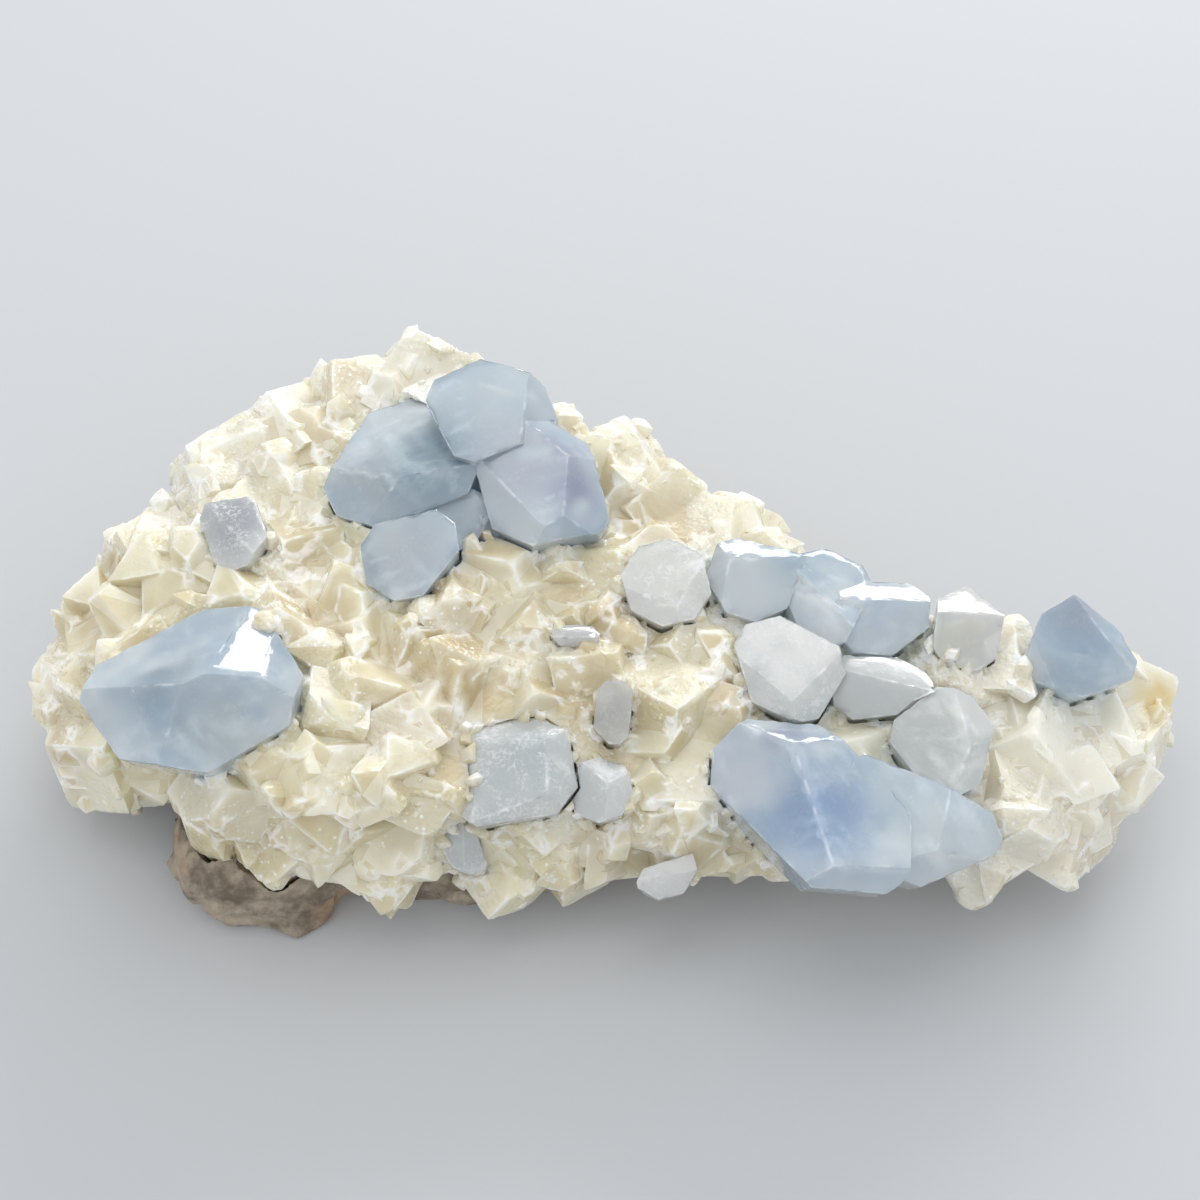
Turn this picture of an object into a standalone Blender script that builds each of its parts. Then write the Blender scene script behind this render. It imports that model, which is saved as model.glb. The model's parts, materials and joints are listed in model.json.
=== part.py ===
"""Celestite and calcite crystal cluster on its host rock, in metres, +Z up, resting on the rock.

The front of the specimen, where the crystals are seen best, faces -Y. The shape is laid out in
millimetres in the tables below and scaled once when each mesh is made.
"""

import math
import random

import bmesh
import bpy
import numpy as np
from mathutils import Vector, noise

MM = 0.001
GAP = 0.3  # between a crystal and what it grows from
SEED = 23

# Calcite crust, cut across at each x: front foot, front shoulder, middle, back shoulder, back foot (y, z)
CRUST_SECTIONS = (
    (-96.0, (-13, 21), (-12, 24), (-9, 25), (-6, 24), (-5, 21)),
    (-91.0, (-20, 19), (-17, 26), (-9, 29), (0, 28), (2, 20)),
    (-83.0, (-22, 20), (-19, 33), (-6, 35), (11, 30), (14, 18)),
    (-74.0, (-28, 20), (-25, 36), (-2, 38), (20, 34), (24, 17)),
    (-62.0, (-41, 16), (-35, 38), (-2, 40), (32, 40), (36, 16)),
    (-48.0, (-45, 14), (-38, 38), (-2, 43), (35, 43), (39, 15)),
    (-33.0, (-46, 13), (-40, 36), (-3, 44), (37, 45), (40, 15)),
    (-19.0, (-45, 13), (-40, 33), (-5, 43), (31, 47), (35, 15)),
    (-5.0, (-44, 12), (-40, 31), (-8, 41), (28, 44), (33, 15)),
    (8.0, (-44, 12), (-40, 31), (-8, 39), (20, 40), (24, 14)),
    (22.0, (-44, 13), (-40, 31), (-14, 36), (11, 38), (15, 14)),
    (38.0, (-44, 17), (-42, 28), (-20, 33), (0, 35), (3, 14)),
    (54.0, (-44, 18), (-42, 27), (-22, 31), (-6, 34), (-3, 14)),
    (70.0, (-43, 16), (-39, 27), (-24, 30), (-9, 32), (-6, 13)),
    (83.0, (-36, 16), (-33, 26), (-22, 28), (-11, 30), (-8, 13)),
    (92.0, (-24, 17), (-22, 25), (-17, 26), (-14, 27), (-12, 16)),
    (97.0, (-19, 20), (-18, 22), (-16, 23), (-15, 22), (-14, 20)),
)
CRUST_UNDERSIDE = 12.0
CRUST_STEPS = (2, 6, 6, 2)  # points from each corner of a cross-section to the next, over the top

# Small calcite crystals strewn over the crust
CALCITE_SPACING = 8.1
CALCITE_SIZE = (7.0, 10.5)
CALCITE_LEAN = 38  # the most degrees that one leans from the surface's normal

# Larger calcite crystals that stand out: tip (x, y, z), size, lean heading, lean from upright
BIG_CALCITE = (
    ((-33, 43, 52), 15, 110, 18),
    ((-47, 38, 49), 13, 150, 25),
    ((-60, 35, 45), 13, 140, 30),
    ((-74, 20, 36), 11, 150, 40),
    ((-88, 14, 31), 10, 150, 60),
    ((-94, -8, 26), 11, 190, 50),
    ((-93, 1, 30), 11, 160, 50),
    ((-94, -24, 22), 13, 200, 62),
    ((-87, -26, 22), 14, 230, 50),
    ((-79, -27, 26), 12, 230, 45),
    ((-70, 25, 43), 13, 150, 25),
    ((-84, 9, 38), 11, 170, 40),
    ((-79, 4, 41), 13, 200, 25),
    ((-41, 20, 49), 13, 300, 10),
    ((4, 28, 45), 14, 80, 25),
    ((13, 20, 43), 13, 50, 25),
    ((23, 15, 41), 12, 60, 25),
    ((31, 9, 39), 11, 50, 30),
    ((4, 14, 45), 14, 280, 18),
    ((70, -8, 35), 12, 60, 30),
    ((98, -15, 27), 12, 350, 50),
    ((90, -28, 27), 14, 320, 45),
    ((80, -38, 26), 14, 300, 35),
    ((70, -30, 34), 13, 240, 20),
    ((-40, -24, 44), 12, 210, 15),
    ((-22, -22, 44), 12, 320, 20),
    ((-40, -44, 27), 13, 255, 60),
    ((-57, -41, 24), 12, 240, 60),
    ((12, -28, 40), 12, 280, 30),
    ((-42, 6, 48), 10, 200, 25),
    ((-51, -14, 48), 12, 20, 15),
)

# Celestite crystals, grouped as they have grown together. Each is a block that stands on its root:
# centre (x, y, z), (length, width), heading of the length, how far its four upright corners are cut
# off going round from the length's left, depth of the root below the centre, and its end faces as
# (heading, slope, distance from the centre). A heading of 0 is +X and 90 is away from the front;
# a slope of 0 faces up and 90 faces sideways. Blocks are in whole millimetres, angles in steps of 5.
CELESTITE = {
    # The broad one on the left shoulder, with a roof of five faces round a high corner
    "celestite_left": (
        ((-64, -28, 43), (32, 28), 35, (5, 4, 7, 5), 12,
         ((40, 20, 9), (125, 25, 7), (235, 35, 8.5), (295, 45, 8), (15, 40, 12))),
    ),
    # The tall group at the back: two big blocks, one behind them and three small ones at their foot
    "celestite_back": (
        ((-18, 23, 50), (20, 18), 25, (6, 2, 2, 3), 14, ((245, 10, 5.5), (345, 45, 8))),
        ((-35, 16, 45), (26, 24), 25, (2, 9, 4, 3), 12, ((110, 10, 5.5), (280, 35, 9), (245, 25, 8))),
        ((-10, 10, 47), (20, 24), 15, (4, 3, 4, 2), 14,
         ((240, 15, 6), (40, 35, 9), (340, 40, 8), (290, 60, 10.5), (225, 45, 7.5))),
        ((-31, -4, 44), (16, 14), 10, (2, 2, 3, 5), 10, ((255, 20, 3.5), (225, 45, 6))),
        ((-25, 4, 42), (14, 9), 20, (1, 1, 2, 3), 9, ((280, 20, 4),)),
        ((-19, 3, 40), (5, 6), 65, (1, 1, 1, 1), 7, ((220, 55, 3), (310, 40, 3.5))),
    ),
    "celestite_small_left": (
        ((-61, 3, 41), (10, 13), 20, (1, 1, 2, 3), 9, ((15, 10, 5.5), (230, 35, 5))),
    ),
    # Three pale blocks side by side behind the right half
    "celestite_right_back": (
        ((25, -4, 38), (14, 15), 70, (2, 4, 3, 1), 10, ((85, 15, 6.5), (195, 45, 6), (275, 25, 4))),
        ((37, -6, 37), (17, 14), 65, (3, 5, 1, 2), 10, ((15, 10, 5), (225, 35, 5))),
        ((47, -10, 35), (13, 15), 85, (2, 2, 4, 2), 10, ((80, 15, 7), (275, 30, 5))),
    ),
    "celestite_clear_back": (
        ((61, -11, 34), (15, 11), 80, (3, 2, 2, 4), 10, ((80, 15, 7), (270, 35, 5.5))),
    ),
    # The blue pyramid at the right-hand end
    "celestite_right_end": (
        ((79, -17, 35), (14, 17), 65, (3, 1, 4, 3), 12, ((240, 35, 4.5), (10, 35, 8), (220, 55, 6))),
    ),
    # The deep blue one at the front, and a clear one lying against its right side
    "celestite_front_right": (
        ((34, -43, 31), (20, 36), 40, (6, 3, 6, 5), 12,
         ((85, 25, 11.5), (215, 25, 7), (310, 10, 7), (275, 60, 12.5))),
        ((50, -47, 29), (16, 26), 70, (1, 9, 7, 2), 10, ((285, 15, 6), (320, 30, 6.5), (285, 60, 6))),
    ),
    "celestite_clear_right": (
        ((56, -32, 32), (15, 17), 30, (3, 2, 2, 5), 10, ((210, 25, 4.5), (335, 15, 6.5), (310, 40, 6.5))),
    ),
    "celestite_clear_middle": (
        ((46, -21, 32), (16, 11), 5, (4, 2, 2, 1), 9, ((85, 10, 6), (250, 40, 5))),
    ),
    # Frosted blocks with a low roof
    "celestite_frosted_right": (
        ((30, -20, 35), (15, 18), 60, (3, 5, 2, 2), 10, ((270, 10, 5), (305, 35, 6.5), (235, 40, 6))),
    ),
    "celestite_frosted_middle": (
        ((11, -6, 40), (14, 15), 15, (3, 3, 3, 3), 10, ((265, 10, 4), (315, 30, 5), (250, 35, 5))),
    ),
    "celestite_front_middle": (
        ((-14, -36, 30), (20, 17), 10, (3, 2, 2, 3), 11,
         ((90, 20, 8), (205, 40, 7.5), (265, 20, 5), (325, 30, 7), (280, 45, 6.5))),
    ),
    "celestite_front_small": (
        ((0, -39, 29), (10, 10), 65, (2, 2, 2, 2), 9, ((70, 10, 6), (220, 40, 4), (310, 40, 5))),
    ),
    # Thin and small ones low between the calcite
    "celestite_sliver": (
        ((-4, -15, 38), (4, 8), 85, (0, 1, 1, 1), 8, ((70, 10, 4), (275, 60, 3))),
    ),
    "celestite_front_low": (
        ((-22, -45, 19), (6, 8), 25, (2, 1, 2, 1), 7, ((315, 50, 3.5), (230, 50, 3.5))),
    ),
    "celestite_recessed": (
        ((2, -28, 34), (10, 6), 85, (1, 2, 1, 1), 8, ((240, 25, 4),)),
    ),
    "celestite_low_right": (
        ((11, -49, 17), (10, 5), 15, (0, 1, 2, 2), 6, ((270, 30, 4), (275, 60, 2))),
    ),
}
SIDE_LEAN = 24  # degrees that a side facing the front draws in below

# Host rock: rounded lumps that run together, as centre, half sizes and roughness
ROCK_LUMPS = (
    ((-16, -6, 8), (62, 38, 15), 2.6),
    ((-58, -37, 7), (18, 13, 13), 2.4),
    ((-24, -36, 5), (32, 10, 8), 1.8),
    ((34, -14, 7), (36, 24, 12), 2.4),
)

COLOURS = {
    "matrix_rock": ((0.16, 0.12, 0.09), 0.75),
    "calcite_crust": ((0.66, 0.62, 0.47), 0.35),
    "celestite_left": ((0.24, 0.34, 0.42), 0.12),
    "celestite_back": ((0.26, 0.34, 0.40), 0.15),
    "celestite_front_right": ((0.30, 0.40, 0.55), 0.15),
    "celestite_right_end": ((0.28, 0.36, 0.50), 0.15),
}
CLEAR_COLOUR = ((0.45, 0.48, 0.46), 0.18)


def direction(heading, slope):
    """The unit vector that leans slope degrees from upright towards the heading."""
    a, s = math.radians(heading), math.radians(slope)
    return Vector((math.sin(s) * math.cos(a), math.sin(s) * math.sin(a), math.cos(s)))


def block_planes(crystal):
    """The crystal's faces as (normal, distance from its centre): sides, cut corners, root, end faces."""
    centre, (length, width), heading, corners, root, faces = crystal
    planes = []
    for turn, half in ((0, length / 2), (90, width / 2), (180, length / 2), (270, width / 2)):
        planes.append((heading + turn, half))
    reach = (length + width) / 2 / math.sqrt(2)
    for turn, cut in zip((45, 135, 225, 315), corners):
        planes.append((heading + turn, reach - cut))
    sides = []
    for side, distance in planes:
        front = max(0.0, -math.sin(math.radians(side)))
        slope = 90 + SIDE_LEAN * front
        # the leaning side passes through the same line at the height of the block's shoulder
        under = math.radians(slope - 90)
        sides.append((direction(side, slope), distance * math.cos(under) - 3.0 * math.sin(under)))
    sides.append((Vector((0, 0, -1)), root))
    for heading_, slope, distance in faces:
        sides.append((direction(heading_, slope), distance))
    return Vector(centre), sides


def calcite_planes(tip, axis, size, spin, blunt):
    """A rhombohedron on its corner: three faces round the tip and three opposite, with the tip cut flat."""
    axis = axis.normalized()
    across = axis.orthogonal().normalized()
    around = axis.cross(across)
    half = size * 0.5
    planes = []
    for k in range(3):
        a = spin + k * math.tau / 3
        lean = math.radians(47 + 7 * math.sin(3.1 * spin + k))
        n = axis * math.cos(lean) + (across * math.cos(a) + around * math.sin(a)) * math.sin(lean)
        planes.append((n, half))
        planes.append((-n, half * 1.15))
    height = half / math.cos(math.radians(50))
    planes.append((axis, height * blunt))
    return Vector(tip) - axis * height * blunt, planes


def cut_solid(bm, centre, planes, grow):
    """Adds to bm the convex solid left when a block round the centre is cut by each plane."""
    part = bmesh.new()
    reach = 2.2 * max(distance for _, distance in planes) + 6
    bmesh.ops.create_cube(part, size=2 * reach)
    for normal, distance in planes:
        cut = bmesh.ops.bisect_plane(
            part,
            geom=part.verts[:] + part.edges[:] + part.faces[:],
            plane_co=normal * (distance + grow),
            plane_no=normal,
            clear_outer=True,
        )
        rim = [e for e in cut["geom_cut"] if isinstance(e, bmesh.types.BMEdge)]
        if rim:
            bmesh.ops.contextual_create(part, geom=rim)
    bmesh.ops.remove_doubles(part, verts=part.verts[:], dist=1e-4)
    bmesh.ops.recalc_face_normals(part, faces=part.faces[:])
    bmesh.ops.translate(part, verts=part.verts[:], vec=centre)
    mesh = bpy.data.meshes.new("piece")
    part.to_mesh(mesh)
    part.free()
    bm.from_mesh(mesh)
    bpy.data.meshes.remove(mesh)


def inside(point, solid, margin):
    centre, planes = solid
    return all(normal.dot(point - centre) < distance + margin for normal, distance in planes)


def finish(bm, name, collection, place=Vector()):
    """Makes the object from a mesh in millimetres, with its origin at the place given."""
    bmesh.ops.translate(bm, verts=bm.verts[:], vec=-place)
    bmesh.ops.scale(bm, verts=bm.verts[:], vec=(MM, MM, MM))
    mesh = bpy.data.meshes.new(name)
    bm.to_mesh(mesh)
    bm.free()
    thing = bpy.data.objects.new(name, mesh)
    thing.location = place * MM
    collection.objects.link(thing)
    return thing


def helper(bm, name, cutters):
    thing = finish(bm, name, cutters)
    thing.hide_render = True
    thing.display_type = "WIRE"
    return thing


def batches(solids):
    """Sorts (centre, planes) solids into groups whose members stay clear of each other."""
    groups = []
    for solid in solids:
        centre, planes = solid
        radius = 1.9 * max(distance for _, distance in planes)
        for group in groups:
            if all((centre - c).length > radius + r + 1 for c, r, _ in group):
                group.append((centre, radius, solid))
                break
        else:
            groups.append([(centre, radius, solid)])
    return [[solid for _, _, solid in group] for group in groups]


def join_or_cut(target, solids, operation, grow, cutters, label, solver="EXACT"):
    """Adds one Boolean modifier to the target for each batch of solids."""
    for k, group in enumerate(batches(solids)):
        bm = bmesh.new()
        for centre, planes in group:
            cut_solid(bm, centre, planes, grow)
        tool = helper(bm, f"{label}_{k}", cutters)
        boolean = target.modifiers.new(tool.name, "BOOLEAN")
        boolean.operation = operation
        boolean.solver = solver
        boolean.object = tool


def keep_largest(thing):
    """Applies the modifiers and drops the chips that a cut has parted from the main body."""
    bpy.context.view_layer.update()
    evaluated = thing.evaluated_get(bpy.context.evaluated_depsgraph_get())
    mesh = bpy.data.meshes.new_from_object(evaluated)
    thing.modifiers.clear()
    bm = bmesh.new()
    bm.from_mesh(mesh)
    seen, islands = set(), []
    for start in bm.verts:
        if start in seen:
            continue
        seen.add(start)
        island, stack = [], [start]
        while stack:
            v = stack.pop()
            island.append(v)
            for e in v.link_edges:
                other = e.other_vert(v)
                if other not in seen:
                    seen.add(other)
                    stack.append(other)
        islands.append(island)
    islands.sort(key=len)
    for island in islands[:-1]:
        bmesh.ops.delete(bm, geom=island, context="VERTS")
    bm.to_mesh(mesh)
    bm.free()
    old = thing.data
    thing.data = mesh
    mesh.name = thing.name
    bpy.data.meshes.remove(old)


def crust_ring(section):
    """The points round one cross-section, from the front foot over the top and back under."""
    x, *corners = section
    corners = [np.array((y, z), float) for y, z in corners]
    under = CRUST_UNDERSIDE
    middle = (corners[0] + corners[4]) / 2
    half = (corners[4][0] - corners[0][0]) / 2
    corners.append(np.array((middle[0] + 0.55 * half, max(under, middle[1] - 0.5 * half))))
    corners.append(np.array((middle[0] - 0.55 * half, max(under, middle[1] - 0.5 * half))))
    points = []
    for k, steps in enumerate(CRUST_STEPS):
        for i in range(steps):
            points.append(corners[k] + (corners[k + 1] - corners[k]) * i / steps)
    tail = (corners[4], corners[5], corners[6], corners[0])
    for a, b in zip(tail[:-1], tail[1:]):
        for i in range(2):
            points.append(a + (b - a) * i / 2)
    return [Vector((x, y, z)) for y, z in points]


def crust_body(grow):
    """A loft through the cross-sections, one more halfway between each two, slightly uneven."""
    rings = [crust_ring(section) for section in CRUST_SECTIONS]
    dense = []
    for a, b in zip(rings[:-1], rings[1:]):
        dense += [a, [(p + q) / 2 for p, q in zip(a, b)]]
    dense.append(rings[-1])
    bm = bmesh.new()
    rows = []
    for ring in dense:
        middle = sum(ring, Vector()) / len(ring)
        row = []
        for point in ring:
            bump = noise.noise(point * 0.11) * 2.2 + noise.noise(point * 0.29 + Vector((7, 3, 1))) * 0.8
            out = (point - middle).normalized()
            row.append(bm.verts.new(point + out * bump * min(1.0, (point - middle).length / 12)))
        rows.append(row)
    for a, b in zip(rows[:-1], rows[1:]):
        for i in range(len(a)):
            j = (i + 1) % len(a)
            bm.faces.new((a[i], a[j], b[j], b[i]))
    for row, side in ((rows[0], -1), (rows[-1], 1)):
        middle = sum((v.co for v in row), Vector()) / len(row)
        tip = bm.verts.new(middle + Vector((side * 1.5, 0, 0)))
        for i in range(len(row)):
            bm.faces.new((row[i], row[(i + 1) % len(row)], tip))
    bmesh.ops.recalc_face_normals(bm, faces=bm.faces[:])
    bm.normal_update()
    for v, out in [(v, v.normal.copy()) for v in bm.verts]:
        v.co += out * grow
    bmesh.ops.triangulate(bm, faces=bm.faces[:])
    return bm


def strewn_calcite(celestites):
    """Calcite crystals standing on the crust, spaced by dart throwing and kept off the celestite."""
    rng = random.Random(SEED)
    bm = crust_body(0)
    faces = [f for f in bm.faces if f.normal.z > -0.35]
    sums = np.cumsum([f.calc_area() for f in faces])
    placed = [Vector(tip) - direction(h, s) * size * 0.5 for tip, size, h, s in BIG_CALCITE]
    solids = []
    tries = 0
    while tries < 9000:
        tries += 1
        face = faces[int(np.searchsorted(sums, rng.random() * sums[-1]))]
        a, b, c = (v.co for v in face.verts)
        u, v = rng.random(), rng.random()
        if u + v > 1:
            u, v = 1 - u, 1 - v
        point = a + (b - a) * u + (c - a) * v
        if any((point - q).length < CALCITE_SPACING for q in placed):
            continue
        if any(inside(point, solid, 2.8) for solid in celestites):
            continue
        normal = face.normal
        lean = normal.orthogonal().normalized()
        lean = lean * math.cos(u * math.tau) + normal.cross(lean) * math.sin(u * math.tau)
        axis = normal + lean * math.tan(math.radians(CALCITE_LEAN * rng.random()))
        size = rng.uniform(*CALCITE_SIZE)
        tip = point + axis.normalized() * size * rng.uniform(0.30, 0.46)
        placed.append(point)
        solids.append(calcite_planes(tip, axis, size, rng.random() * math.tau, rng.uniform(0.68, 0.95)))
    bm.free()
    for k, (tip, size, heading, slope) in enumerate(BIG_CALCITE):
        solids.append(calcite_planes(tip, direction(heading, slope), size, 0.7 * k, 0.9))
    return solids


def rock_lump(centre, halves, rough):
    bm = bmesh.new()
    bmesh.ops.create_uvsphere(bm, u_segments=18, v_segments=8, radius=1)
    for v in bm.verts:
        n = v.co.copy()
        v.co = Vector(centre) + Vector((n.x * halves[0], n.y * halves[1], n.z * halves[2]))
        v.co += n * rough * (noise.noise(v.co * 0.09) * 1.6 + noise.noise(v.co * 0.23) * 0.9)
    bmesh.ops.recalc_face_normals(bm, faces=bm.faces[:])
    return bm


def centre_on_floor(specimen):
    """Hangs every piece on one empty, moved so that the whole stands centred on the origin."""
    bpy.context.view_layer.update()
    points = [thing.matrix_world @ v.co for thing in specimen.objects for v in thing.data.vertices]
    low = [min(p[k] for p in points) for k in range(3)]
    high = [max(p[k] for p in points) for k in range(3)]
    stand = bpy.data.objects.new("stand", None)
    stand.location = (-(low[0] + high[0]) / 2, -(low[1] + high[1]) / 2, -low[2])
    for thing in specimen.objects:
        thing.parent = stand
    specimen.objects.link(stand)
    print("stand at", [round(1000 * v, 3) for v in stand.location])


def material(name):
    colour, rough = COLOURS.get(name, CLEAR_COLOUR)
    made = bpy.data.materials.new(name)
    made.use_nodes = True
    shader = made.node_tree.nodes["Principled BSDF"]
    shader.inputs["Base Color"].default_value = (*colour, 1)
    shader.inputs["Roughness"].default_value = rough
    shader.inputs["Metallic"].default_value = 0
    return made


def main():
    for thing in list(bpy.data.objects):
        bpy.data.objects.remove(thing)
    specimen = bpy.data.collections.new("crystal_cluster")
    cutters = bpy.data.collections.new("cutters")
    for collection in (specimen, cutters):
        bpy.context.scene.collection.children.link(collection)

    groups = {name: [block_planes(c) for c in crystals] for name, crystals in CELESTITE.items()}
    every = [solid for group in groups.values() for solid in group]

    # The crust with its calcite, and a pocket for each celestite crystal. EXACT loses the crust here.
    calcite = strewn_calcite(every)
    crust = finish(crust_body(0), "calcite_crust", specimen)
    join_or_cut(crust, calcite, "UNION", 0, cutters, "calcite", "MANIFOLD")
    join_or_cut(crust, every, "DIFFERENCE", GAP, cutters, "pocket", "MANIFOLD")
    keep_largest(crust)

    # The rock under it, cut flat where it stands and to the crust where they meet
    rock = finish(rock_lump(*ROCK_LUMPS[0]), "matrix_rock", specimen)
    floor = bmesh.new()
    bmesh.ops.create_cube(floor, size=1)
    bmesh.ops.scale(floor, verts=floor.verts[:], vec=(260, 200, 40))
    bmesh.ops.translate(floor, verts=floor.verts[:], vec=(0, 0, -20))
    steps = [(f"lump_{k}", "UNION", rock_lump(*lump)) for k, lump in enumerate(ROCK_LUMPS[1:])]
    steps += [("floor", "DIFFERENCE", floor), ("bed", "DIFFERENCE", crust_body(GAP * 1.6))]
    for label, operation, tool in steps:
        boolean = rock.modifiers.new(label, "BOOLEAN")
        boolean.operation = operation
        boolean.solver = "MANIFOLD"
        boolean.object = helper(tool, label, cutters)
    low = [solid for solid in calcite if solid[0].z - 9 < 24]
    join_or_cut(rock, low, "DIFFERENCE", GAP, cutters, "print", "MANIFOLD")
    join_or_cut(rock, every, "DIFFERENCE", GAP, cutters, "root", "MANIFOLD")
    keep_largest(rock)

    # The celestite crystals, each group fused and kept clear of the groups named before it
    earlier = []
    for name, group in groups.items():
        bm = bmesh.new()
        cut_solid(bm, *group[0], 0)
        thing = finish(bm, name, specimen, group[0][0])
        for k, solid in enumerate(group[1:]):
            join_or_cut(thing, [solid], "UNION", 0, cutters, f"{name}_{k}")
        near = [s for s in earlier if any((s[0] - c).length < 45 for c, _ in group)]
        join_or_cut(thing, near, "DIFFERENCE", GAP, cutters, f"{name}_clear")
        keep_largest(thing)
        earlier += group

    centre_on_floor(specimen)
    for thing in specimen.objects:
        if thing.type == "MESH":
            thing.data.materials.clear()
            thing.data.materials.append(material(thing.name))


main()
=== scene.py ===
# Celestite crystals on a crust of calcite, over a lump of host rock, on a pale floor
import json
import math

import bmesh
import bpy
import numpy as np
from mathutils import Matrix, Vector
from mathutils.bvhtree import BVHTree


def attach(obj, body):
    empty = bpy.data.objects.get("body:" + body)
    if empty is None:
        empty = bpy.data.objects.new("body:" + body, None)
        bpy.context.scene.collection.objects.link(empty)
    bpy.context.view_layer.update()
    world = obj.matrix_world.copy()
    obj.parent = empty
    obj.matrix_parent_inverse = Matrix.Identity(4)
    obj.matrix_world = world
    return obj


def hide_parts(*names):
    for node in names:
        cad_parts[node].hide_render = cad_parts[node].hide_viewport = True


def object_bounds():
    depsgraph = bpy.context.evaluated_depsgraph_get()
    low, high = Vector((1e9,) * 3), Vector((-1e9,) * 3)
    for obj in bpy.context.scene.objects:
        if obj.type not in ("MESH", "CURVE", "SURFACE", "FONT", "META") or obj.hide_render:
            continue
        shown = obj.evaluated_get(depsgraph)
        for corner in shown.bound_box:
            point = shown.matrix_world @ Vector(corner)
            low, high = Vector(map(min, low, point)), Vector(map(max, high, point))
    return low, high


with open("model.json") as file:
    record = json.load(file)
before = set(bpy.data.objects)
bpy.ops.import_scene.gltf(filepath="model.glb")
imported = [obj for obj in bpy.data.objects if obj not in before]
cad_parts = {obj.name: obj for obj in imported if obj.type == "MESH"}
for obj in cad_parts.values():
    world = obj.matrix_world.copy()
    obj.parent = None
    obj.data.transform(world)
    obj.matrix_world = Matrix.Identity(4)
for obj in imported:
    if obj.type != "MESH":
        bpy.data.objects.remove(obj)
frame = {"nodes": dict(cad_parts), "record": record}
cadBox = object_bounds()
mm = 0.001


def readNode(name):
    # a node's triangles share no corners, so corners at one place are made one
    mesh = frame["nodes"][name].data
    mesh.calc_loop_triangles()
    points = np.empty(len(mesh.vertices) * 3)
    mesh.vertices.foreach_get("co", points)
    corners = np.empty(len(mesh.loop_triangles) * 3, np.int32)
    mesh.loop_triangles.foreach_get("vertices", corners)
    points = points.reshape(-1, 3)
    places = np.round(points * 2e6).astype(np.int64)
    _, first, index = np.unique(places, axis=0, return_index=True, return_inverse=True)
    faces = index.reshape(-1)[corners].reshape(-1, 3)
    keep = (faces[:, 0] != faces[:, 1]) & (faces[:, 1] != faces[:, 2]) & (faces[:, 2] != faces[:, 0])
    return points[first] / mm, faces[keep]


def makePiece(name, points, faces):
    # points in millimetres, faces as one array of corner numbers
    mesh = bpy.data.meshes.new(name)
    mesh.from_pydata((points * mm).tolist(), [], faces.tolist())
    mesh.update()
    thing = bpy.data.objects.new(name, mesh)
    bpy.context.scene.collection.objects.link(thing)
    return thing


def triangleFrame(points, faces):
    # centre, unit normal and area of each triangle
    a, b, c = points[faces[:, 0]], points[faces[:, 1]], points[faces[:, 2]]
    cross = np.cross(b - a, c - a)
    size = np.linalg.norm(cross, axis=1)
    return (a + b + c) / 3, cross / np.maximum(size, 1e-12)[:, None], size / 2


def applied(thing):
    # the mesh as its modifiers leave it, put back on the object without them
    bpy.context.view_layer.update()
    depsgraph = bpy.context.evaluated_depsgraph_get()
    mesh = bpy.data.meshes.new_from_object(thing.evaluated_get(depsgraph))
    old = thing.data
    thing.modifiers.clear()
    thing.data = mesh
    bpy.data.meshes.remove(old)
    mesh.name = thing.name
    return thing


def meshArrays(mesh):
    points = np.empty(len(mesh.vertices) * 3)
    mesh.vertices.foreach_get("co", points)
    mesh.calc_loop_triangles()
    corners = np.empty(len(mesh.loop_triangles) * 3, np.int32)
    mesh.loop_triangles.foreach_get("vertices", corners)
    return points.reshape(-1, 3) / mm, corners.reshape(-1, 3)


def vertexNormals(mesh):
    normals = np.empty(len(mesh.vertices) * 3)
    mesh.vertices.foreach_get("normal", normals)
    return normals.reshape(-1, 3)


def cutLongSides(points, faces, longest):
    # a triangle's longest side is halved while it is over the limit,
    # and both triangles beside it are split there
    mostRounds = 16
    for _ in range(mostRounds):
        sides = np.stack([faces, np.roll(faces, -1, axis=1)], axis=2)
        run = points[sides[:, :, 1]] - points[sides[:, :, 0]]
        length = np.sqrt((run ** 2).sum(2))
        worst = length.argmax(1)
        rows = np.arange(len(faces))
        over = length[rows, worst] > longest[faces[:, 0]]
        if not over.any():
            break
        keys = np.sort(sides, axis=2)
        keys = keys[:, :, 0].astype(np.int64) * len(points) + keys[:, :, 1]
        cut, index = np.unique(keys[rows[over], worst[over]], return_index=True)
        ends = sides[rows[over], worst[over]][index]
        place = np.searchsorted(cut, keys)
        place = np.minimum(place, len(cut) - 1)
        marked = cut[place] == keys
        middles = place + len(points)
        points = np.concatenate([points, points[ends].mean(1)])
        longest = np.concatenate([longest, longest[ends].min(1)])
        count = marked.sum(1)
        pieces = [faces[count == 0]]
        for turn in range(3):
            f, m, k = (np.roll(x, -turn, axis=1) for x in (faces, middles, marked))
            one = (count == 1) & k[:, 0]
            a, b, c, p = f[one, 0], f[one, 1], f[one, 2], m[one, 0]
            pieces += [np.stack(t, axis=1) for t in ((a, p, c), (p, b, c))]
            two = (count == 2) & ~k[:, 2]
            a, b, c, p, q = f[two, 0], f[two, 1], f[two, 2], m[two, 0], m[two, 1]
            pieces += [np.stack(t, axis=1) for t in ((p, b, q), (a, p, q), (a, q, c))]
        three = count == 3
        (a, b, c), (p, q, r) = faces[three].T, middles[three].T
        pieces += [np.stack(t, axis=1) for t in ((a, p, r), (p, b, q), (r, q, c), (p, q, r))]
        faces = np.concatenate(pieces)
    return points, faces


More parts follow.
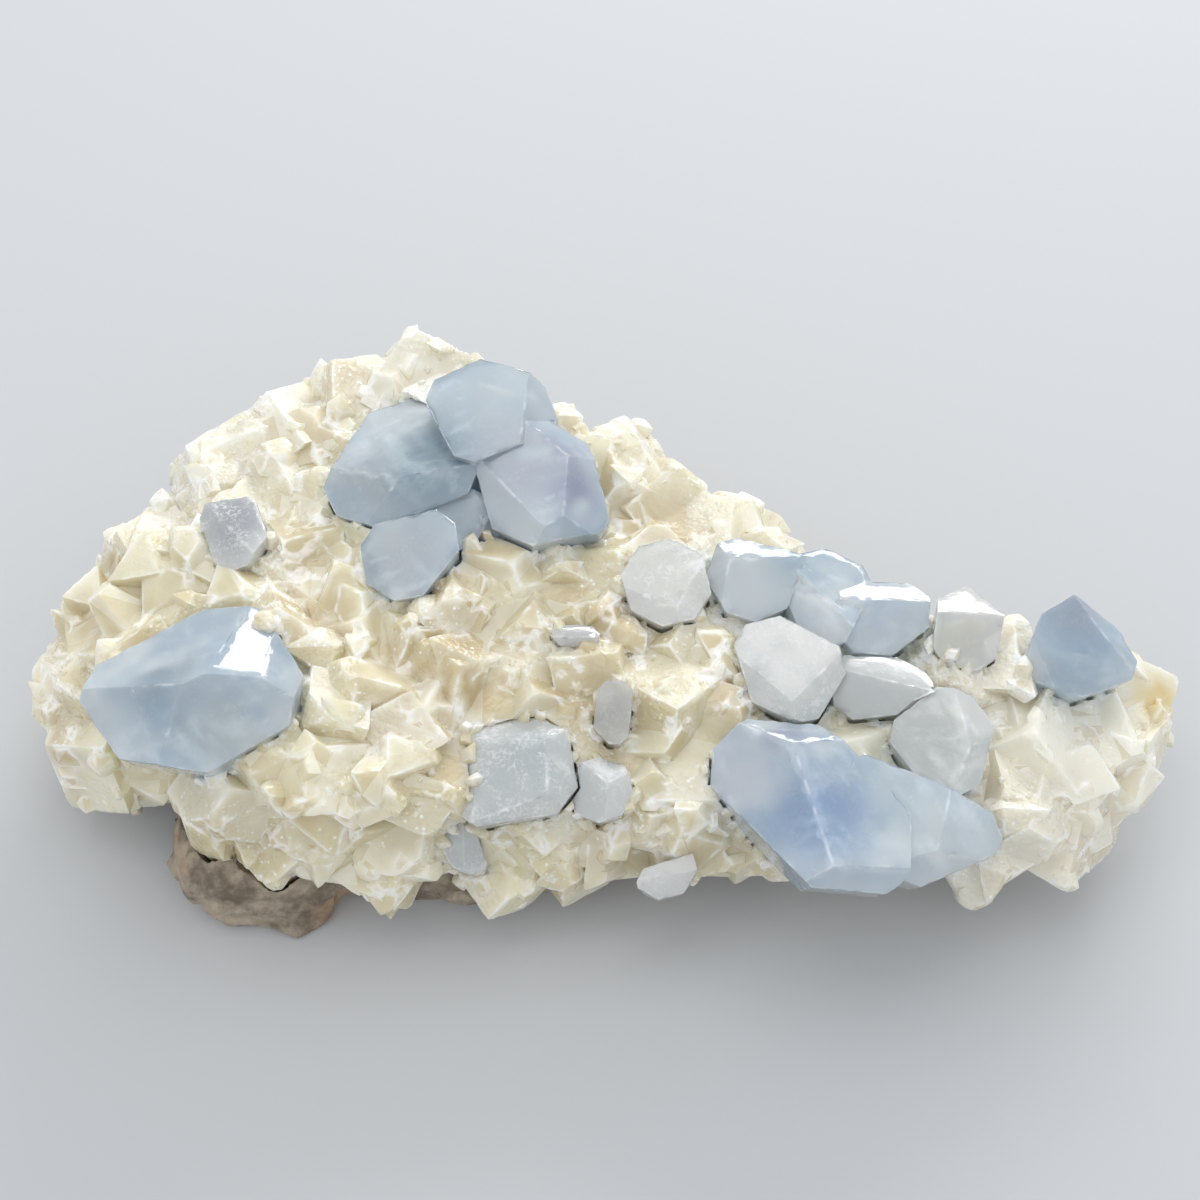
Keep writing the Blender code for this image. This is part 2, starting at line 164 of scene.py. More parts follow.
def sharpEdges(points, faces, least):
    # ends of each edge whose two triangles turn outwards by more than the least angle in degrees
    centre, normal, _ = triangleFrame(points, faces)
    sides = np.concatenate([faces[:, [0, 1]], faces[:, [1, 2]], faces[:, [2, 0]]])
    owner = np.tile(np.arange(len(faces)), 3)
    low, high = sides.min(1), sides.max(1)
    order = np.lexsort((high, low))
    low, high, owner = low[order], high[order], owner[order]
    pair = np.nonzero((low[1:] == low[:-1]) & (high[1:] == high[:-1]))[0]
    one, two = owner[pair], owner[pair + 1]
    turn = np.einsum("ij,ij->i", normal[one], normal[two])
    bulge = np.einsum("ij,ij->i", normal[one], centre[two] - centre[one])
    sharp = (turn < math.cos(math.radians(least))) & (bulge < 0)
    return points[low[pair][sharp]], points[high[pair][sharp]]


def distanceToEdges(points, starts, ends, reach, slab=4.0):
    # the shortest distance from each point to a segment, worked out square by square of the plan
    found = np.full(len(points), reach)
    run = ends - starts
    length2 = np.maximum((run ** 2).sum(1), 1e-9)
    lowX, highX = np.minimum(starts[:, 0], ends[:, 0]), np.maximum(starts[:, 0], ends[:, 0])
    for x in np.arange(points[:, 0].min(), points[:, 0].max() + slab, slab):
        here = np.nonzero((points[:, 0] >= x) & (points[:, 0] < x + slab))[0]
        near = np.nonzero((highX > x - reach) & (lowX < x + slab + reach))[0]
        if not len(here) or not len(near):
            continue
        for y in np.arange(points[here, 1].min(), points[here, 1].max() + slab, slab):
            mine = here[(points[here, 1] >= y) & (points[here, 1] < y + slab)]
            lowY = np.minimum(starts[near, 1], ends[near, 1])
            highY = np.maximum(starts[near, 1], ends[near, 1])
            close = near[(highY > y - reach) & (lowY < y + slab + reach)]
            if not len(mine) or not len(close):
                continue
            p = points[mine][:, None, :] - starts[close][None]
            t = np.clip((p * run[close]).sum(2) / length2[close], 0, 1)
            gap = np.sqrt(((p - t[:, :, None] * run[close]) ** 2).sum(2))
            found[mine] = np.minimum(found[mine], gap.min(1))
    return found


def soften(points, faces, share):
    # each point moves part of the way to the mean of its neighbours, which rounds the edges
    ends, others = faces.ravel(), np.roll(faces, -1, axis=1).ravel()
    count = np.bincount(ends, minlength=len(points))
    sums = [np.bincount(ends, points[others, k], len(points)) for k in range(3)]
    return points + (np.stack(sums, axis=1) / np.maximum(count, 1)[:, None] - points) * share


def facetTone(points, faces, salt):
    # a repeatable number from 0 to 1 for each flat facet, from its plane
    centre, normal, _ = triangleFrame(points, faces)
    plane = np.column_stack([np.round(normal[:, :2] * 12), np.round((normal * centre).sum(1) * 2)])
    return hashed(plane, salt)


def setAttribute(mesh, name, values, domain="POINT"):
    layer = mesh.attributes.new(name, "FLOAT", domain)
    layer.data.foreach_set("value", np.asarray(values, np.float32))


def setPaint(mesh, colours):
    layer = mesh.attributes.new("paint", "FLOAT_COLOR", "POINT")
    rgba = np.ones((len(colours), 4), np.float32)
    rgba[:, :3] = colours
    layer.data.foreach_set("color", rgba.ravel())


def ramp(values, start, end):
    # 0 at the start, 1 at the end, with a soft turn at both
    t = np.clip((values - start) / (end - start), 0, 1)
    return t * t * (3 - 2 * t)


def blend(one, two, share):
    share = share[:, None]
    return np.asarray(one) * (1 - share) + np.asarray(two) * share


def hashed(cells, salt):
    # a repeatable number from 0 to 1 for each whole-numbered cell
    mixed = np.sin(cells @ np.array((12.9898, 78.233, 37.719)) + salt * 4.137) * 43758.5453
    return mixed - np.floor(mixed)


def softNoise(points, cell, salt=0.0):
    # smooth noise: hashed values at the corners of cells, blended with an s-curve; from 0 to 1
    q = points / cell
    base = np.floor(q)
    t = q - base
    t = t * t * (3 - 2 * t)
    total = np.zeros(len(points))
    for corner in range(8):
        step = np.array((corner & 1, corner >> 1 & 1, corner >> 2 & 1))
        share = np.prod(np.where(step, t, 1 - t), axis=1)
        total += share * hashed(base + step, salt)
    return total


def layeredNoise(points, layers):
    # several sizes of smooth noise added up; a layer is its cell in millimetres, its salt and its share
    return sum(softNoise(points, cell, salt) * share for cell, salt, share in layers)


def addPatches(points, colour, patches, ragged):
    # a patch is a soft ball of colour: its centre, radius, width of its edge, colour and strength
    for centre, radius, edge, tint, strength in patches:
        gap = np.sqrt(((points - centre) ** 2).sum(1))
        colour = blend(colour, tint, ramp(gap, radius + edge, max(radius - edge, 0)) * ragged * strength)
    return colour


def mergeFlatFaces(mesh, angle, triangles):
    # faces that turn by less than the angle in degrees are made one
    bm = bmesh.new()
    bm.from_mesh(mesh)
    bmesh.ops.dissolve_limit(bm, angle_limit=math.radians(angle), verts=bm.verts[:], edges=bm.edges[:])
    if triangles:
        bmesh.ops.triangulate(bm, faces=bm.faces[:])
    bm.to_mesh(mesh)
    bm.free()


def treeOf(points, faces):
    return BVHTree.FromPolygons(points.tolist(), faces.tolist())


celestiteNodes = sorted(n for n in frame["nodes"] if n.startswith("celestite"))
celestiteMeshes = {name: readNode(name) for name in celestiteNodes}
celestiteStarts = np.cumsum([0] + [len(celestiteMeshes[n][0]) for n in celestiteNodes])
celestiteTree = treeOf(
    np.concatenate([celestiteMeshes[n][0] for n in celestiteNodes]),
    np.concatenate([celestiteMeshes[n][1] + start for n, start in zip(celestiteNodes, celestiteStarts)]),
)


def gapToCelestite(points, reach):
    hits = [celestiteTree.find_nearest(p, reach)[3] for p in points.tolist()]
    return np.array([reach if h is None else h for h in hits])


crustSettings = {
    "seed": 11,
    # width of a crystal from and to, spacing, most of them, how far a tip stands out, patchy, lean
    "tiers": (
        (9.5, 17.0, 6.3, 480, (0.06, 0.30), 0.0, 0.23),
        (4.6, 8.0, 5.0, 320, (0.08, 0.36), 0.44, 0.30),
        (1.5, 2.5, 1.7, 900, (0.20, 0.60), 0.62, 0.40),
    ),
    "triesEach": 14,  # places tried for each crystal
    "large": 8,  # a tier whose widest is over this is kept to faces that look up
    "hiddenShare": 0.05,  # how often the other faces are tried
    "offCelestite": (0.3, 2.6),  # share of its width, and the most, that a crystal keeps from celestite
    "blunt": (0.24, 0.42),  # half the height of a crystal against its width
    "steep": (0.7, 1.0),
    "steepShare": 0.06,
    "contactSpacing": 1.9,  # between the crystals round the foot of each celestite
    "contactSize": (2.6, 5.6),
    "contactRise": 0.12,  # how far out and up such a crystal stands against its width
    "contactSeed": 3,
    "mostContacts": 1200,
    "pocketAngle": 12,  # a pocket's rim is an edge that turns by more than this
    "pocketGap": 0.7,  # and is nearer than this to the celestite in it
    "inset": 0.5,  # how far a tip stays inside the CAD box
    "mostProud": 3.0,  # a crystal whose corner would stand out further is left out
    "apart": 0.02,  # between crystals that are joined in one step
    "templates": 14,
    "flatAngle": 0.4,
    "longestSide": 1.9,
    "undersideSide": 4.0,
    "rimAngle": 20,  # an edge that turns by more has a paler rim, partly painted light glowing through the thin edge
    "rimReach": 1.8,  # how far the paler edge, partly painted glow, runs in from a crystal's edge
    "soften": 0.28,  # how far each point moves to the middle of its neighbours
    "uneven": 0.22,
    "wear": 0.25,
    "wearReach": 0.8,
    "sharpAngle": 32,  # an edge that turns by more stays sharp in the shading
}


def toothTemplate(rng):
    # a blunt crystal 1 wide and 2 high: the hull of a flat tilted top, a girdle and a foot
    count = rng.integers(4, 7)
    angles = np.arange(count) * math.tau / count + rng.normal(0, 0.16, count)
    reach = 0.5 * rng.uniform(0.70, 1.08, count)
    girdle = np.column_stack([np.cos(angles) * reach, np.sin(angles) * reach, rng.normal(0, 0.09, count)])
    # the top has a corner over each corner of the girdle, and lies on one plane
    top = girdle * rng.choice((0.22, 0.50, 0.70)) * rng.uniform(0.75, 1.15, (count, 1))
    slope, way = rng.uniform(0.0, 0.9), rng.uniform(0, math.tau)
    downhill = top[:, 0] * math.cos(way) + top[:, 1] * math.sin(way)
    top[:, 2] = 1 - (downhill - downhill.min()) * slope
    bm = bmesh.new()
    for place in np.concatenate([top, girdle, [(0, 0, -1.0)]]):
        bm.verts.new(place)
    made = bmesh.ops.convex_hull(bm, input=bm.verts[:])
    loose = {v for v in made["geom_interior"] + made["geom_unused"] if isinstance(v, bmesh.types.BMVert)}
    bmesh.ops.delete(bm, geom=list(loose), context="VERTS")
    bmesh.ops.triangulate(bm, faces=bm.faces[:])
    bmesh.ops.recalc_face_normals(bm, faces=bm.faces[:])
    bm.verts.index_update()
    points = np.array([v.co for v in bm.verts])
    faces = np.array([[v.index for v in f.verts] for f in bm.faces])
    bm.free()
    return points, faces


def standCrystals(points, tips, axes, spins, sizes, stretch):
    # each crystal is the template's corners turned by its spin, leaned, scaled
    # and moved so that its top is at the tip
    axes = axes / np.linalg.norm(axes, axis=1)[:, None]
    helper = np.where(np.abs(axes[:, 2:]) < 0.9, (0.0, 0.0, 1.0), (1.0, 0.0, 0.0))
    side = np.cross(helper, axes)
    side /= np.linalg.norm(side, axis=1)[:, None]
    other = np.cross(axes, side)
    turned = side * np.cos(spins)[:, None] + other * np.sin(spins)[:, None]
    basis = np.stack([turned, np.cross(axes, turned), axes], axis=1)
    local = points[None] * (sizes[:, None, None] * stretch[:, None, :])
    placed = np.einsum("nvi,nij->nvj", local, basis)
    top = (points[:, 2].max() * sizes * stretch[:, 2])[:, None] * axes
    return placed + (tips - top)[:, None, :]


def spread(candidates, spacing, limit):
    # keeps each candidate that is clear of those kept before it
    kept = np.empty((limit, 3))
    chosen, count = [], 0
    for k, point in enumerate(candidates):
        if count and (((kept[:count] - point) ** 2).sum(1) < spacing ** 2).any():
            continue
        kept[count] = point
        chosen.append(k)
        count += 1
        if count == limit:
            break
    return np.array(chosen, int)


def contactSpots(points, faces, spacing):
    # spots along the open rim of each pocket that a celestite stands in,
    # with the way out from the celestite
    s = crustSettings
    starts, ends = sharpEdges(points, faces, s["pocketAngle"])
    spots = np.concatenate([starts + (ends - starts) * t for t in np.linspace(0, 1, 9)])
    spots = spots[gapToCelestite(spots, s["pocketGap"] * 2) < s["pocketGap"]]
    spots = spots[np.random.default_rng(s["contactSeed"]).permutation(len(spots))]
    crustTree = treeOf(points, faces)
    kept, outs = [], []
    for spot in spots.tolist():
        place = Vector(spot)
        near = celestiteTree.find_nearest(place)[0]
        out = (place - near).normalized()
        lifted = place + out * 0.05 + Vector((0, 0, 0.15))
        for way in (Vector((0, 0, 1)), Vector((0, -0.7, 0.7)), Vector((0, 0.7, 0.7))):
            if all(tree.ray_cast(lifted, way)[0] is None for tree in (celestiteTree, crustTree)):
                kept.append(spot)
                outs.append(out)
                break
    kept, outs = np.array(kept), np.array(outs)
    chosen = spread(kept, spacing, s["mostContacts"])
    return kept[chosen], outs[chosen]


def classesOf(centres, radii):
    # crystals of one class are clear of one another, so one union can join a whole class
    order = np.argsort(-radii, kind="stable")
    found = np.full(len(radii), -1)
    for k, i in enumerate(order):
        done = order[:k]
        touching = ((centres[done] - centres[i]) ** 2).sum(1) < (radii[done] + radii[i]) ** 2
        used = set(found[done[touching]].tolist())
        found[i] = next(c for c in range(len(used) + 1) if c not in used)
    return found


def growCrystals(points, faces, rng):
    # places, by tiers, every small crystal of the crust: its tip, axis, width and stretch
    s = crustSettings
    _, normal, area = triangleFrame(points, faces)
    shareOff, mostOff = s["offCelestite"]
    grown = []
    for small, large, spacing, most, (lowRise, highRise), patchy, lean in s["tiers"]:
        lowestFacing = 0.05 if large > s["large"] else -0.5
        weight = area * np.where(normal[:, 2] > lowestFacing, 1, s["hiddenShare"])
        pick = rng.choice(len(faces), most * s["triesEach"], p=weight / weight.sum())
        u, v = rng.random((2, len(pick)))
        flip = u + v > 1
        u[flip], v[flip] = 1 - u[flip], 1 - v[flip]
        a, b, c = (points[faces[pick, k]] for k in range(3))
        spots = a + (b - a) * u[:, None] + (c - a) * v[:, None]
        # the small ones stand in patches, and closer together at the back left
        closer = np.clip((-spots[:, 0] - 40) / 40, 0, 1) * np.clip((spots[:, 1] - 5) / 15, 0, 1) * 0.2
        clear = gapToCelestite(spots, 4.0) > min(large * shareOff, mostOff)
        clear &= layeredNoise(spots, ((13.0, spacing, 0.6), (6.0, 8, 0.4))) + closer > patchy
        spots, out = spots[clear], normal[pick][clear]
        chosen = spread(spots, spacing, most)
        spots, out = spots[chosen], out[chosen]
        sizes = small + (large - small) * rng.random(len(spots)) ** 1.3
        axes = out + rng.normal(0, lean, out.shape)
        axes /= np.linalg.norm(axes, axis=1)[:, None]
        stretch = rng.uniform(0.8, 1.25, (len(spots), 3))
        steep = rng.random(len(spots)) < s["steepShare"]
        tall = rng.uniform(*s["steep"], len(spots))
        flat = rng.uniform(*s["blunt"], len(spots))
        stretch[:, 2] = np.where(steep, tall, flat)
        rise = sizes * stretch[:, 2] * rng.uniform(lowRise, highRise, len(spots))
        grown.append((spots + axes * rise[:, None], axes, sizes, stretch))
        print("crust:", len(spots), "crystals up to", large, "mm wide")
    foot, outward = contactSpots(points, faces, s["contactSpacing"])
    sizes = rng.uniform(*s["contactSize"], len(foot))
    lean = outward * (1, 1, 0.4) + (0, 0, 0.8) + rng.normal(0, 0.35, foot.shape)
    lean /= np.linalg.norm(lean, axis=1)[:, None]
    stretch = rng.uniform(0.75, 1.2, (len(foot), 3)) * (1, 1, 0.55)
    rise = (outward * s["contactRise"] + lean * s["contactRise"]) * sizes[:, None]
    tips = foot + rise + (0, 0, 0.2)
    grown.append((tips, lean, sizes, stretch))
    print("crust:", len(foot), "crystals at the feet of the celestite")
    return grown


def proudest(tree, placed):
    # how far the proudest corner of each crystal stands out of the bare crust
    found = []
    for corners in placed.tolist():
        most = 0.0
        for corner in corners:
            near, out, _, gap = tree.find_nearest(corner)
            if (Vector(corner) - near).dot(out) > 0:
                most = max(most, gap)
        found.append(most)
    return np.array(found)


def paintCrust(fine, rim):
    # the crust's broad colours at its points: mottling, brown hearts, paler ends, stains and paler edges,
    # which are partly painted light glowing through the thin edges
    look = calciteLook
    mottled = layeredNoise(fine, look["mottling"])
    colour = blend(look["core"], look["corePale"], ramp(mottled, 0.35, 0.65))
    brown = layeredNoise(fine, look["hearts"])
    colour = blend(colour, look["tan"], ramp(brown, 0.50, 0.68) * 0.55)
    colour = blend(colour, look["white"], ramp(fine[:, 0], 0, 80) * 0.6)
    colour = blend(colour, look["white"], ramp(fine[:, 1], 0, 50) * 0.45)
    ragged = ramp(layeredNoise(fine, look["ragged"]), 0.28, 0.58)
    colour = addPatches(fine, colour, look["stains"], ragged)
    # the paler edges are partly a paler edge colour and partly painted glow of light shining through the
    # thinner edges
    pale = 0.12 + 0.55 * ramp(softNoise(fine, 5, 45), 0.40, 0.75)
    return blend(colour, look["rim"], ramp(rim, 0.0, 1.0) * pale)


def placedCrystals(points, faces, low, high):
    # the corners and triangles of every small crystal that stays in the box and isn't too proud
    s = crustSettings
    rng = np.random.default_rng(s["seed"])
    templates = [toothTemplate(rng) for _ in range(s["templates"])]
    crustTree = treeOf(points, faces)
    solids = []
    for tips, axes, sizes, stretch in growCrystals(points, faces, rng):
        tips = np.clip(tips, low + s["inset"], high - s["inset"])
        spins = rng.uniform(0, math.tau, len(sizes))
        for number, (corners, triangles) in enumerate(templates):
            mine = np.arange(number, len(tips), len(templates))
            placed = standCrystals(corners, tips[mine], axes[mine], spins[mine], sizes[mine], stretch[mine])
            inside = ((placed > low).all(2) & (placed < high).all(2)).all(1)
            inside &= proudest(crustTree, placed) < s["mostProud"]
            solids += [(one, triangles) for one in placed[inside]]
    return solids


def joinCrystals(points, faces, solids):
    # the bare crust and its crystals as one body, with one union for each class of crystals
    centres = np.array([corners.mean(0) for corners, _ in solids])
    radii = np.array([np.sqrt(((c - m) ** 2).sum(1).max()) for (c, _), m in zip(solids, centres)])
    classes = classesOf(centres, radii + crustSettings["apart"])
    crust = makePiece("calcite_crystals", points, faces)
    layers = []
    for number in range(classes.max() + 1):
        mine = [solids[i] for i in np.nonzero(classes == number)[0]]
        starts = np.cumsum([0] + [len(corners) for corners, _ in mine])
        layer = makePiece("layer", np.concatenate([corners for corners, _ in mine]),
                          np.concatenate([f + start for (_, f), start in zip(mine, starts)]))
        union = crust.modifiers.new("union", "BOOLEAN")
        union.operation = "UNION"
        union.solver = "MANIFOLD"
        union.object = layer
        layers.append(layer)
    applied(crust)
    for layer in layers:
        bpy.data.objects.remove(layer)
    made = len(crust.data.polygons)
    print("crust: joined", len(solids), "crystals in", len(layers), "steps,", made, "faces")
    mergeFlatFaces(crust.data, crustSettings["flatAngle"], True)
    return crust


def calciteCrust():
    s = crustSettings
    points, faces = readNode("calcite_crust")
    low, high = np.array(cadBox[0]) / mm, np.array(cadBox[1]) / mm
    crust = joinCrystals(points, faces, placedCrystals(points, faces, low, high))
    coarse, coarseFaces = meshArrays(crust.data)
    below = vertexNormals(crust.data)[:, 2] < -0.3
    print("crust:", len(coarseFaces), "triangles before the fine cut")
    longest = np.where(below, s["undersideSide"], s["longestSide"])
    fine, fineFaces = cutLongSides(coarse, coarseFaces, longest)
    print("crust:", len(fineFaces), "triangles after it")

    starts, ends = sharpEdges(coarse, coarseFaces, s["rimAngle"])
    gap = distanceToEdges(fine, starts, ends, s["rimReach"])
    bpy.data.objects.remove(crust)
    crust = makePiece("calcite_crystals", fine, fineFaces)
    # the surface is a little uneven at two sizes, and its edges are worn
    lift = (softNoise(fine, 3.2, 4) - 0.5) * s["uneven"]
    lift = lift + (softNoise(fine, 1.3, 6) - 0.5) * s["uneven"] * 0.4
    lift -= np.clip(1 - gap / s["wearReach"], 0, 1) * softNoise(fine, 0.9, 3) ** 2 * s["wear"]
    moved = soften(fine, fineFaces, s["soften"]) + vertexNormals(crust.data) * lift[:, None]
    crust.data.vertices.foreach_set("co", (np.clip(moved, low, high) * mm).ravel())
    rim = 1 - gap / s["rimReach"]
    setAttribute(crust.data, "rim", rim)
    setAttribute(crust.data, "sugar", ramp(layeredNoise(fine, calciteLook["sugar"]), 0.46, 0.62))
    setAttribute(crust.data, "tone", facetTone(fine, fineFaces, 3), "FACE")
    setPaint(crust.data, paintCrust(fine, rim))
    crust.data.shade_smooth()
    crust.data.set_sharp_from_angle(angle=math.radians(s["sharpAngle"]))
    print("crust: finished with", len(crust.data.polygons), "faces")
    crust.data.materials.append(calciteMaterial())
    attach(crust, "root")
    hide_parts("calcite_crust")


def newMaterial(name):
    made = bpy.data.materials.new(name)
    made.use_nodes = True
    tree = made.node_tree
    return made, tree, tree.nodes["Principled BSDF"]


def link(tree, source, target):
    tree.links.new(source, target)


def noiseNode(tree, coords, scale, detail=3.0, rough=0.5, distortion=0.0):
    node = tree.nodes.new("ShaderNodeTexNoise")
    node.inputs["Scale"].default_value = scale
    node.inputs["Detail"].default_value = detail
    node.inputs["Roughness"].default_value = rough
    node.inputs["Distortion"].default_value = distortion
    link(tree, coords, node.inputs["Vector"])
    return node.outputs["Fac"]


def cellNode(tree, coords, scale):
    # the distance to the nearest middle of a cell
    node = tree.nodes.new("ShaderNodeTexVoronoi")
    node.inputs["Scale"].default_value = scale
    link(tree, coords, node.inputs["Vector"])
    return node.outputs["Distance"]


def mapRange(tree, value, fromLow, fromHigh, toLow=0.0, toHigh=1.0):
    node = tree.nodes.new("ShaderNodeMapRange")
    node.interpolation_type = "SMOOTHSTEP"
    link(tree, value, node.inputs["Value"])
    keys = ("From Min", "From Max", "To Min", "To Max")
    for key, amount in zip(keys, (fromLow, fromHigh, toLow, toHigh)):
        node.inputs[key].default_value = amount
    return node.outputs["Result"]


def mixColour(tree, factor, one, two):
    node = tree.nodes.new("ShaderNodeMix")
    node.data_type = "RGBA"
    for socket, value in ((node.inputs[0], factor), (node.inputs[6], one), (node.inputs[7], two)):
        if isinstance(value, (int, float)):
            socket.default_value = value
        elif isinstance(value, tuple):
            socket.default_value = (*value, 1)
        else:
            link(tree, value, socket)
    return node.outputs[2]


def mathNode(tree, kind, one, two):
    node = tree.nodes.new("ShaderNodeMath")
    node.operation = kind
    for socket, value in zip(node.inputs, (one, two)):
        if isinstance(value, (int, float)):
            socket.default_value = value
        else:
            link(tree, value, socket)
    return node.outputs[0]


def objectCoords(tree):
    return tree.nodes.new("ShaderNodeTexCoord").outputs["Object"]


def attributeNode(tree, name):
    node = tree.nodes.new("ShaderNodeAttribute")
    node.attribute_name = name
    return node.outputs["Fac"]


def paintNode(tree):
    node = tree.nodes.new("ShaderNodeAttribute")
    node.attribute_name = "paint"
    return node.outputs["Color"]


def bumpNode(tree, height, strength, distance):
    bump = tree.nodes.new("ShaderNodeBump")
    bump.inputs["Strength"].default_value = strength
    bump.inputs["Distance"].default_value = distance * mm
    link(tree, height, bump.inputs["Height"])
    return bump.outputs["Normal"]


def setInside(shader, inside):
    # how light bends as it goes in, and how far it spreads there, in metres
    shader.inputs["IOR"].default_value = inside["ior"]
    shader.inputs["Subsurface Weight"].default_value = inside["weight"]
    shader.inputs["Subsurface Radius"].default_value = inside["radius"]
    shader.inputs["Subsurface Scale"].default_value = inside["scale"]


calciteLook = {
    "core": (0.64, 0.57, 0.37),
    "corePale": (0.80, 0.75, 0.55),
    "tan": (0.54, 0.42, 0.23),
    "white": (0.86, 0.85, 0.80),
    # colour of the paler edges, partly painted glow of light through the thin edges
    "rim": (0.90, 0.87, 0.74),
    # white for the frosted edges and for the sugar specks, which are partly painted glints
    "frostAndGlint": (0.97, 0.96, 0.92),
    "inside": {"ior": 1.6, "weight": 0.4, "radius": (1.0, 0.85, 0.55), "scale": 0.006},
    # layers of noise: cell in millimetres, salt, share
    "mottling": ((16, 21, 0.5), (7, 22, 0.3), (3, 23, 0.2)),
    "hearts": ((12, 31, 0.6), (4, 32, 0.4)),
    "ragged": ((6, 41, 0.55), (2.2, 42, 0.45)),
    "sugar": ((9, 51, 0.6), (3.5, 52, 0.4)),
    # patches of colour: centre, radius, width of the edge, colour, strength
    "stains": (
        ((-28.7, -18.0, 38), 9, 8, (0.50, 0.38, 0.20), 0.60),
        ((-33.5, -26.4, 33), 8, 7, (0.48, 0.36, 0.19), 0.55),
        ((-21.2, -23.5, 36), 5, 4, (0.45, 0.33, 0.16), 0.60),
        ((-51.5, 2.4, 40), 5, 3.5, (0.42, 0.29, 0.14), 0.75),
        ((-70, 4.3, 38), 5, 4, (0.52, 0.50, 0.33), 0.60),
        ((-79, 22, 38), 13, 9, (0.88, 0.88, 0.86), 0.75),
        ((-65, 33, 40), 9, 6, (0.88, 0.88, 0.86), 0.65),
        ((-84.8, 6.9, 33), 2.4, 1.5, (0.55, 0.36, 0.10), 0.80),
        ((95.7, -16.1, 24), 5.5, 3.5, (0.72, 0.56, 0.20), 0.80),
        ((71.8, -11.1, 38), 2.6, 1.6, (0.66, 0.42, 0.08), 0.85),
        ((-92, -20, 22), 7, 5, (0.45, 0.33, 0.17), 0.60),
    ),
}


def calciteMaterial():
    look = calciteLook
    made, tree, shader = newMaterial("calcite")
    coords = objectCoords(tree)
    rim, tone, patch = (attributeNode(tree, name) for name in ("rim", "tone", "sugar"))
    colour = mixColour(tree, mapRange(tree, tone, 0.5, 1.0, 0, 0.3), paintNode(tree), look["white"])
    colour = mixColour(tree, mapRange(tree, tone, 0.45, 0.0, 0, 0.35), colour, look["tan"])
    # the edges are frosted here and there
    broken = mapRange(tree, noiseNode(tree, coords, 240, 2), 0.46, 0.64, 0.0, 0.9)
    frosted = mathNode(tree, "MULTIPLY", mapRange(tree, rim, 0.70, 0.98), broken)
    colour = mixColour(tree, mathNode(tree, "MULTIPLY", frosted, 0.8), colour, look["frostAndGlint"])
    # sugary patches with white specks: partly the paler fine grains, partly painted glints of their tiny
    # facets
    speck = mapRange(tree, cellNode(tree, coords, 950), 0.36, 0.16)
    chance = mapRange(tree, noiseNode(tree, coords, 700, 0), 0.46, 0.60)
    sugar = mathNode(tree, "MULTIPLY", mathNode(tree, "MULTIPLY", patch, speck), chance)
    colour = mixColour(tree, mathNode(tree, "MULTIPLY", sugar, 0.85), colour, look["frostAndGlint"])
    link(tree, colour, shader.inputs["Base Color"])
    glossy = mapRange(tree, tone, 0.0, 1.0, 0.12, 0.36)
    rough = mathNode(tree, "ADD", glossy, mathNode(tree, "MULTIPLY", patch, 0.12))
    link(tree, rough, shader.inputs["Roughness"])
    setInside(shader, look["inside"])
    grainy = mapRange(tree, patch, 0, 1, 0.25, 1)
    grains = mathNode(tree, "MULTIPLY", noiseNode(tree, coords, 1100, 1), grainy)
    link(tree, bumpNode(tree, grains, 0.6, 0.7), shader.inputs["Normal"])
    return made


celestiteSettings = {
    "flatAngle": 1.5,
    "bevel": 0.13,
    "bevelAngle": 12,
    "longestSide": 1.4,
    "rimAngle": 10,  # an edge that turns by more is worn
    "rimReach": 1.0,
    "wave": 0.05,  # how uneven the facets are
    "wear": 0.22,  # how far the worn edges are eaten in
    "wearReach": 0.8,
    "sharpAngle": 30,
    "inside": {"ior": 1.62, "weight": 0.2, "radius": (0.7, 0.85, 1.0), "scale": 0.003},
    "speck": (0.96, 0.97, 0.98),
    "clouds": ((11, 61, 0.5), (5, 62, 0.3), (2.4, 63, 0.2)),
    "ragged": ((7, 64, 0.6), (3, 65, 0.4)),
    # sheets of tiny bubbles: salt, the way across them, and how thin they are
    "sheets": ((71, (0.8, 0.5, 0.33), 1.5), (75, (-0.35, 0.75, 0.56), 1.1)),
}

celestiteLooks = {
    "celestite_blue": {
        "pale": (0.84, 0.91, 0.95), "deep": (0.56, 0.68, 0.78), "milk": (0.94, 0.97, 0.99),
        "wisps": 0.15, "smooth": 0.06, "rough": 0.16, "clear": 0.48,
        "absorb": (0.45, 0.70, 0.94), "density": 7, "bump": 0.10, "grain": 0.10,
    },
    "celestite_clear": {
        "pale": (0.96, 0.97, 0.96), "deep": (0.87, 0.91, 0.90), "milk": (0.98, 0.98, 0.98),
        "wisps": 0.35, "smooth": 0.05, "rough": 0.16, "clear": 0.50,
        "absorb": (0.8, 0.90, 0.95), "density": 4, "bump": 0.15, "grain": 0.30,
    },
    "celestite_frosted": {
        "pale": (0.92, 0.92, 0.89), "deep": (0.76, 0.79, 0.78), "milk": (0.97, 0.97, 0.95),
        "wisps": 0.4, "smooth": 0.18, "rough": 0.42, "clear": 0.38,
        "absorb": (0.8, 0.88, 0.92), "density": 5, "bump": 0.45, "grain": 0.85,
    },
}

